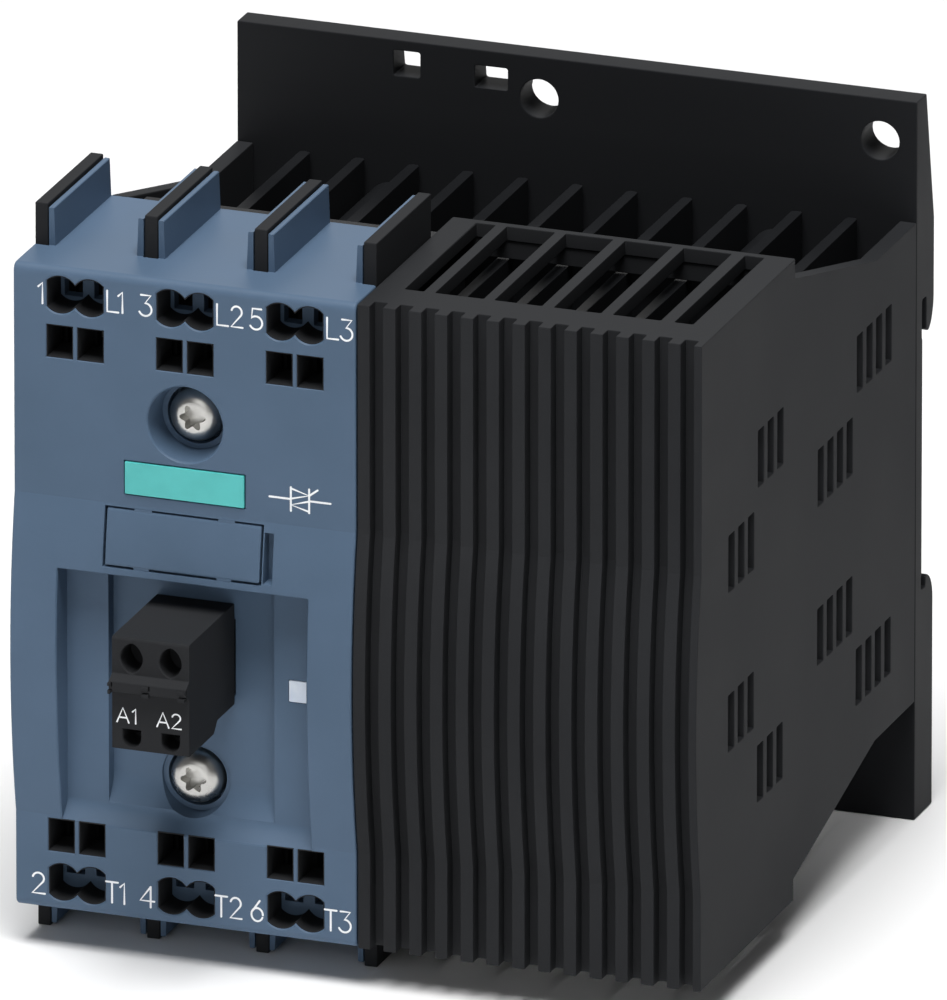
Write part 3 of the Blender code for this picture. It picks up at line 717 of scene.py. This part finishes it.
def sunk(bm, xs, heights, depth, chamfer=CHAMFER):
    """Adds a cutter for a recess in the curved front; depth gives its floor at each height."""
    rings = []
    for z in heights:
        face, floor = front_y(z), depth(z)
        edge = max(min(chamfer, floor - face - 0.02), 0.0)
        rings.append([at(x, y, z) for x, y in (
            (xs[0] - edge, -6), (xs[1] + edge, -6), (xs[1] + edge, face - 0.001),
                                               (xs[1], face + edge),
            (xs[1], floor), (xs[0], floor), (xs[0], face + edge), (xs[0] - edge, face - 0.001))])
    loft(bm, rings)


def eased(z, low, high, floor):
    """A floor that sinks from the front plane to its full depth between two heights."""
    way = min(max((z - low) / (high - low), 0.0), 1.0)
    return max(floor * math.sin(way * math.pi / 2) ** 1.15, 0.012)


bm = bmesh.new()
levels = [17.0 + 0.2 * i for i in range(1, 14)]
levels += [19.6 + (RECESS_TOP - 19.6) * i / 44 for i in range(1, 45)]
sunk(bm, (6.15, 39.0), levels, lambda z: eased(z, 17.0, 19.6, LEDGE_Y))
hood = carved(hood, new_piece("recess_ledges", bm))
bm = bmesh.new()
prism(bm, [(-6, 50.4), (front_y(50.7) + CHAMFER, 50.4), (front_y(50.7) + CHAMFER, 50.7),
           (front_y(50.86) - 0.001, 50.86), (-6, 50.86)], "X", 6.15, 39.0)
hood = carved(hood, new_piece("recess_upper_edge", bm))
bm = bmesh.new()
prism(bm, [(-5.0, 17.0), (0.0, 17.0)]
      + [(eased(17.0 + 0.4 * i, 17.0, 23.4, FLOOR_Y), 17.0 + 0.4 * i) for i in range(1, 17)]
      + [(FLOOR_Y, RECESS_TOP), (-5.0, RECESS_TOP)], "X", 11.6, 33.4)
hood = carved(hood, new_piece("recess_floor", bm))
bm = bmesh.new()
opening(bm, rectangle((17.4, 27.6), (34.9, 44.9)), FLOOR_Y, 10, 0.12)
opening(bm, rectangle((35.3, 38.6), (35.7, 38.6)), LEDGE_Y, 10, 0.05)
hood = carved(hood, new_piece("plug_and_light_openings", bm))

# Pockets for the label cover and for the badge, and the notch that frees the cover.
bm = bmesh.new()
sunk(bm, (12.02, 32.88), [51.64 + 7.72 * i / 40 for i in range(41)], lambda z: front_y(z) + 1.25,
     0.05)
block(bm, (33.06, 34.3), (-5, 1.1), (51.9, 58.4))
opening(bm, rectangle((14.5, 30.45), (61.05, 65.55)), 0.0, 0.55, 0.05)
hood = carved(hood, new_piece("front_pockets", bm))
finished(hood, 0, slate_polyamide, ["hood"], creases=(BULGE_LOW, BULGE_HIGH))

# Painted shade. Thin black linings cover the walls of each pair of wire funnels and each
# screwdriver opening, so that these walls are painted as dark as the shadow deep inside them.


def lining_tube(bm, outer, inner, low, high):
    """Adds a tube between two outlines, from one depth to another."""
    rings = [[bm.verts.new(at(a, y, b)) for a, b in outline]
             for outline, y in ((outer, low), (outer, high), (inner, high), (inner, low))]
    faces = []
    for first, second in zip(rings, rings[1:] + rings[:1]):
        for i in range(len(first)):
            k = (i + 1) % len(first)
            faces.append(bm.faces.new((first[i], first[k], second[k], second[i])))
    bmesh.ops.recalc_face_normals(bm, faces=faces)


bm = bmesh.new()
for z in (WIRE_Z, HEIGHT - WIRE_Z):
    lining_tube(bm, *([(FIRST_POLE + a, z + b) for a, b in funnel(grow)] for grow in (-0.01, -0.13)),
           0.2, 4.88)
for side in (-BLADE_X, BLADE_X):
    for low, high in BLADE_ZS:
        left, right = FIRST_POLE + side - BLADE_HALF, FIRST_POLE + side + BLADE_HALF
        lining_tube(bm, *(rectangle((left + d, right - d), (low + d, high - d)) for d in (0.01, 0.12)),
               0.12, 5.4)
# The linings are painted shade, not a part of the terminal carriers.
shade_linings = grown(new_piece("terminal_collars", bm), ROW, Count=POLES, Step=(POLE_PITCH * MM, 0, 0),
                Surface=black_polyamide)
finished(shade_linings, 0, black_polyamide, [])

# Phase barriers. Black polyamide combs, one above and one below, whose plates slide into the
# slots of the hood between the terminals.
for node, name in (("top_barriers", "upper_phase_barriers"),
                   ("bottom_barriers", "lower_phase_barriers")):
    finished(from_cad(node, name), 0.15, black_polyamide, [node])

# Label cover. Slate-blue polyamide, it snaps into a shallow pocket over the hood and bends with
# its swelling. Two pairs of tabs bridge the gap round it, and a notch takes a fingernail.
bm = bmesh.new()
cover_face = front_line(51.9, 59.1, 0.0, 84)
prism(bm, cover_face + front_line(51.9, 59.1, 1.0, 84)[::-1], "X", 12.3, 32.6)
label = rounded(new_piece("label_plate", bm), 0.22)
bm = bmesh.new()
for xs, (low, high) in (((15.9, 18.2), (58.9, 59.35)), ((26.9, 29.1), (58.9, 59.35)),
                        ((16.1, 18.1), (51.65, 52.1)),
                        ((27.0, 28.9), (51.65, 52.1))):
    block(bm, xs, (front_y((low + high) / 2) + 0.06, -0.1), (low, high))
label = joined("label_cover_plate", label, new_piece("label_tabs", bm))
finished(label, 0, slate_polyamide, ["label_cover"], "label_cover")

# Badge. A plain teal plastic plate, punched from sheet and glued in a shallow pocket of the
# hood. It carries no mark.
# Teal plastic: a clear blue-green with an even satin face.
teal = surfaced("satin_teal_plate", "50BDBA", "4AB4B1", 5, (0.34, 0.42), 0.3, 0.006, IOR=1.5)
bm = bmesh.new()
block(bm, (14.65, 30.3), (-0.2, 0.35), (61.2, 65.4))
finished(new_piece("plain_badge", bm), 0.1, teal, ["badge"])

# Light guide. Milky acrylic, moulded and pushed into the hood from behind. It brings the status
# lamp's light to the front.
# Milky acrylic: a pale bluish white with a smooth, glassy face.
milky = surfaced("milky_acrylic", "D9E2EE", "CBD6E6", 3, (0.18, 0.26), 0.5, 0.004, IOR=1.49)
bm = bmesh.new()
block(bm, (35.36, 38.54), (1.95, 16.9), (35.76, 38.54))
finished(new_piece("status_light_guide", bm), 0.12, milky, ["light_guide"])

# Housing screws. Two zinc plated pan-head screws with a six-lobe recess, driven through the wells
# of the hood into the heat sink.
bm = bmesh.new()
turned(bm, 0, 0, [(0, 2.72), (1.9, 2.7), (2.05, 2.74), (2.45, 2.88), (2.85, 3.15), (3.18, 3.55),
                  (3.38, 4.0), (3.46, 4.4), (3.5, 5.0), (3.5, 6.2), (3.4, 6.3), (2.0, 6.3),
                  (2.0, 37.6), (1.6, 38.0),
                  (0, 38.0)], 96)
housing_screw = new_piece("housing_screw", bm)
bm = bmesh.new()
star = []
for i in range(72):
    turn = 2 * math.pi * i / 72
    reach = 1.42 + 0.3 * math.cos(6 * turn)
    star.append((reach * math.cos(turn), reach * math.sin(turn)))
prism(bm, star, "Y", 0, 4.3)
housing_screw = carved(housing_screw, new_piece("six_lobes", bm))
housing_screws = at_each("housing_screws", housing_screw, SCREW_WELLS, zinc)
finished(housing_screws, 0, zinc, ["upper_screw", "lower_screw"])

# Control plug. Black polyamide, pulled off forwards: two wire openings below, two release
# openings above, and a ridge between them to grip. A tinned contact sits behind each wire.
bm = bmesh.new()
prism(bm, [(-12.3, 32.4), (-3.6, 32.4), (-2.3, 33.8), (3.75, 33.8), (3.75, 47.1), (-11.95, 47.1),
           (-12.14, 47.03), (-12.26, 46.9), (-12.3, 46.7), (-12.3, 42.3), (-13.5, 41.6),
           (-13.5, 40.3),
           (-12.3, 40.0)], "X", 17.4, 27.6)
plug = rounded(new_piece("pluggable_connector", bm), 0.14)
PLUG_XS = (20.0, 25.1)
bm = bmesh.new()
for x in PLUG_XS:
    diamond = []
    for i in range(32):
        turn = 2 * math.pi * i / 32
        across, up = math.cos(turn), math.sin(turn)
        reach = 1 / (abs(across / 1.45) ** 1.7 + abs(up / 1.95) ** 1.7) ** (1 / 1.7)
        diamond.append((x + across * reach, 44.4 + up * reach))
    opening(bm, diamond, -12.3, -8.5, 0.12)
    turns = [math.pi * i / 14 for i in range(15)]
    arch = [(x + 1.2 * math.cos(t), 34.0 - 1.2 * math.sin(t)) for t in turns]
    opening(bm, [(x + 1.2, 35.1)] + arch + [(x - 1.2, 35.1)], -12.3, -8.5, 0.1)
plug = carved(plug, new_piece("plug_openings", bm))
bm = bmesh.new()
for x in PLUG_XS:
    block(bm, (x - 0.9, x + 0.9), (-8.6, -5.0), (33.4, 35.0))
    block(bm, (x - 1.3, x + 1.3), (-7.0, 5.0), (38.6, 41.2))
plug = carved(plug, new_piece("plug_channels", bm))
bm = bmesh.new()
for x in (17.55, 22.45, 27.3):
    block(bm, (x + 0.2, x + 0.36), (-14.0, -13.1), (40.85, 41.5))
    prism(bm, [(x - 0.6, 40.45), (x + 0.2, 40.45), (x + 0.2, 39.75), (x + 0.36, 39.75),
               (x + 0.36, 40.62),
               (x - 0.6, 40.62)], "Y", -14.0, -13.1)
plug = carved(plug, new_piece("latch_gaps", bm))
bm = bmesh.new()
for x in (17.45, 22.45, 27.2):
    start = max(x - 0.7, 17.28)
    block(bm, (start, x + 0.19), (-13.66, -13.2), (40.95, 41.4))
    block(bm, (start, x + 0.19), (-13.6, -12.2), (39.9, 40.42))
lugs = rounded(new_piece("latch_lugs", bm), 0.08)
plug = joined("pluggable_connector", plug, lugs)
finished(plug, 0, black_polyamide, ["control_plug"], "plug")
resurfaced(tinned, "plug_contact_1", "plug_contact_2")

# Rail spring. A leaf of rolled stainless steel, punched and held in the upper hook, where it
# presses on the rail.
finished(from_cad("rail_spring", "rail_leaf_spring"), 0.1, spring_steel,
         ["rail_spring"],
         "rail_spring")

# Terminal marks. White ink, pad printed on the hood and the plug: the usual terminal numbers of
# a three-pole switch and of its control input, and the line symbol of a pair of antiparallel
# thyristors, all in plain strokes of one width.
# Pad printing ink: a thin, even white with little gloss.
ink = surfaced("white_pad_printing_ink", "F4F6F8", "EDEFF2", 2, (0.45, 0.55), 0.2, 0.002, IOR=1.5)


def strokes_tree():
    """Geometry Nodes that turn lines into flat strokes with round ends."""
    tree = bpy.data.node_groups.new("printed_strokes", "GeometryNodeTree")
    for name, kind in (("Lines", "Geometry"), ("Width", "Float"), ("Thickness", "Float"),
                       ("Surface", "Material")):
        tree.interface.new_socket(name, in_out="INPUT", socket_type=f"NodeSocket{kind}")
    tree.interface.new_socket("Strokes", in_out="OUTPUT", socket_type="NodeSocketGeometry")
    given = add(tree, "NodeGroupInput").outputs
    facing = add(tree, "GeometryNodeSetCurveNormal", {"mode": "FREE", "Normal": (0, 1, 0)},
                 {"Curve": given["Lines"]})
    section = add(tree, "GeometryNodeCurvePrimitiveQuadrilateral", {},
                  {"Width": given["Thickness"], "Height": given["Width"]})
    ribbon = add(tree, "GeometryNodeCurveToMesh", {"Fill Caps": True},
                 {"Curve": facing.outputs["Curve"], "Profile Curve": section.outputs["Curve"]})
    half = add(tree, "ShaderNodeMath", {"operation": "MULTIPLY"})
    half.inputs[1].default_value = 0.5
    tree.links.new(given["Width"], half.inputs[0])
    proud = add(tree, "ShaderNodeMath", {"operation": "MULTIPLY"})
    proud.inputs[1].default_value = 1.1
    tree.links.new(given["Thickness"], proud.inputs[0])
    dot = add(tree, "GeometryNodeMeshCylinder", {"Vertices": 16},
              {"Radius": half.outputs[0], "Depth": proud.outputs[0]})
    ends = add(tree, "GeometryNodeCurveEndpointSelection", {"Start Size": 1, "End Size": 1})
    dots = add(tree, "GeometryNodeInstanceOnPoints", {"Rotation": (math.pi / 2, 0, 0)},
               {"Points": given["Lines"], "Selection": ends.outputs["Selection"],
                "Instance": dot.outputs["Mesh"]})
    both = add(tree, "GeometryNodeJoinGeometry")
    tree.links.new(ribbon.outputs["Mesh"], both.inputs[0])
    tree.links.new(dots.outputs["Instances"], both.inputs[0])
    real = add(tree, "GeometryNodeRealizeInstances", {}, {"Geometry": both.outputs["Geometry"]})
    flat = add(tree, "GeometryNodeSetShadeSmooth", {"Shade Smooth": False},
               {"Geometry": real.outputs["Geometry"]})
    coated = add(tree, "GeometryNodeSetMaterial", {},
                 {"Geometry": flat.outputs["Geometry"], "Material": given["Surface"]})
    add(tree, "NodeGroupOutput", {}, {"Strokes": coated.outputs["Geometry"]})
    return tree


def bow(x, z, wide, tall, start, end, count=14):
    """Points along part of an ellipse, between two angles in degrees."""
    turns = [math.radians(start + (end - start) * i / count) for i in range(count + 1)]
    return [(x + wide * math.cos(t), z + tall * math.sin(t)) for t in turns]


# Each character as lines in a box of one by one.
CHARACTERS = {
    "1": [[(0, 0.8), (1, 1), (1, 0)]],
    "2": [bow(0.48, 0.73, 0.45, 0.27, 165, -35) + [(0, 0), (1, 0)]],
    "3": [[(0.08, 1), (0.92, 1), (0.42, 0.61)] + bow(0.44, 0.31, 0.54, 0.31, 78, -155)],
    "4": [[(0.74, 1), (0, 0.3), (1, 0.3)], [(0.74, 1), (0.74, 0)]],
    "5": [[(0.9, 1), (0.16, 1), (0.08, 0.54)] + bow(0.44, 0.32, 0.54, 0.32, 118, -150)],
    "6": [[(0.72, 1), (0.12, 0.5)], bow(0.5, 0.32, 0.5, 0.32, 0, 338, 26)],
    "A": [[(0, 0), (0.5, 1), (1, 0)], [(0.17, 0.33), (0.83, 0.33)]],
    "L": [[(0, 1), (0, 0), (1, 0)]],
    "T": [[(0, 1), (1, 1)], [(0.5, 1), (0.5, 0)]],
}
STROKES = strokes_tree()


def printed(name, marks, lines, front, width, body):
    """Prints characters, each in its box of (x, x, z, z), and plain lines on a front face."""
    data = bpy.data.curves.new(name, "CURVE")
    data.dimensions = "3D"
    half = width / 2
    drawn = [list(line) for line in lines]
    for character, (x0, x1, z0, z1) in marks:
        for line in CHARACTERS[character]:
            drawn.append([(x0 + half + a * (x1 - x0 - width), z0 + half + b * (z1 - z0 - width))
                          for a, b in line])
    for number, line in enumerate(drawn):
        spline = data.splines.new("POLY")
        spline.points.add(len(line) - 1)
        for point, (x, z) in zip(spline.points, line):
            point.co = (*at(x, front - 0.01 - 0.003 * (number % 4), z), 1.0)
    holder = bpy.data.objects.new(name, data)
    bpy.context.scene.collection.objects.link(holder)
    holder = grown(holder, STROKES, Width=width * MM, Thickness=0.03 * MM, Surface=ink)
    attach(holder, body)


UPPER, LOWER = (84.6, 87.55), (7.0, 9.95)
marks = []
for number, (left, right) in zip("135", ((3.2, 4.0), (16.55, 18.35), (31.05, 32.85))):
    marks.append((number, (left, right, *UPPER)))
for number, (left, right) in zip("246", ((2.1, 4.0), (16.35, 18.45), (31.0, 32.75))):
    marks.append((number, (left, right, *LOWER)))
for pole, number in enumerate("123"):
    start = 12.25 + POLE_PITCH * pole
    tip = (start + 1.45, start + 2.25) if number == "1" else (start + 1.85, start + 3.6)
    marks.append(("L", (start, start + 1.7, *UPPER)))
    marks.append((number, (*tip, *UPPER)))
    start = 11.85 + POLE_PITCH * pole
    tip = (start + 1.85, start + 2.65) if number == "1" else (start + 1.95, start + 3.7)
    marks.append(("T", (start, start + 1.8, *LOWER)))
    marks.append((number, (*tip, *LOWER)))
SYMBOL_Z = 63.15
symbol = [[(33.6, SYMBOL_Z), (36.4, SYMBOL_Z)], [(38.8, SYMBOL_Z), (41.6, SYMBOL_Z)],
          [(36.4, 61.6), (36.4, 64.7)], [(38.8, 61.6), (38.8, 64.7)],
          [(36.4, 64.55), (38.8, 63.85), (36.4, 63.2)], [(38.8, 63.1), (36.4, 62.4), (38.8, 61.75)],
          [(38.8, 63.85), (39.9, 64.7)]]
printed("terminal_marks", marks, symbol, 0.0, 0.25, "relay")
printed("control_marks", [("A", (18.0, 19.75, 35.85, 37.95)), ("1", (20.05, 20.65, 35.85, 37.95)),
                          ("A", (23.25, 25.0, 35.85, 37.95)), ("2", (25.2, 26.6, 35.85, 37.95))],
        [], -12.3, 0.2, "plug")

# Studio. A pale floor and surround, a wide soft light above, one behind on the left and a weak
# one in front.
# Matt white floor: it takes a soft shadow and reflects nothing clearly.
pale = surfaced("matt_white_floor", "F6F6F6", "F4F4F5", 400, (0.7, 0.8), 40, 0.01)
bm = bmesh.new()
block(bm, (-20000, 20000), (-20000, 20000), (-20, -0.05))
floor = new_piece("floor", bm)
floor.data.materials.append(pale)
floor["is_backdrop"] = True

scene = bpy.context.scene
scene.view_settings.view_transform = "Standard"
world = bpy.data.worlds.new("pale_surround")
world.use_nodes = True
scene.world = world
world.node_tree.nodes.clear()
around = add(world.node_tree, "ShaderNodeBackground", {"Color": (1, 1, 1, 1), "Strength": 0.13})
add(world.node_tree, "ShaderNodeOutputWorld", {}, {"Surface": around.outputs["Background"]})


def softbox(name, place, target, size, watts):
    """A square area light that faces a point."""
    data = bpy.data.lights.new(name, "AREA")
    data.size = size
    data.energy = watts
    lamp = bpy.data.objects.new(name, data)
    lamp.location = place
    lamp.rotation_euler = (Vector(target) - Vector(place)).to_track_quat("-Z", "Y").to_euler()
    scene.collection.objects.link(lamp)


softbox("top_light", (0.12, -0.42, 1.45), (0, -0.03, 0), 0.8, 30)
softbox("rear_light", (-0.3, 1.5, 0.9), (0, 0, 0.03), 1.0, 5)
softbox("front_light", (0.0, -1.5, 0.5), (0, -0.03, 0.05), 0.8, 2.5)

# Camera. A very long lens from the front right and a little above, so that upright and level
# edges stay nearly parallel.
AZIMUTH, ELEVATION, DISTANCE = math.radians(20), math.radians(20), 4.8196
aim = at(45.08, 41.8, 49.8)
line_of_sight = Vector((math.sin(AZIMUTH) * math.cos(ELEVATION),
                        -math.cos(AZIMUTH) * math.cos(ELEVATION),
                        math.sin(ELEVATION)))
lens = bpy.data.cameras.new("camera")
lens.lens = 1400
lens.sensor_width = 36
lens.clip_start = 0.1
lens.clip_end = 100
camera = bpy.data.objects.new("camera", lens)
camera.location = aim + line_of_sight * DISTANCE
camera.rotation_euler = line_of_sight.to_track_quat("Z", "Y").to_euler()
scene.collection.objects.link(camera)
scene.camera = camera

low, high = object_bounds()
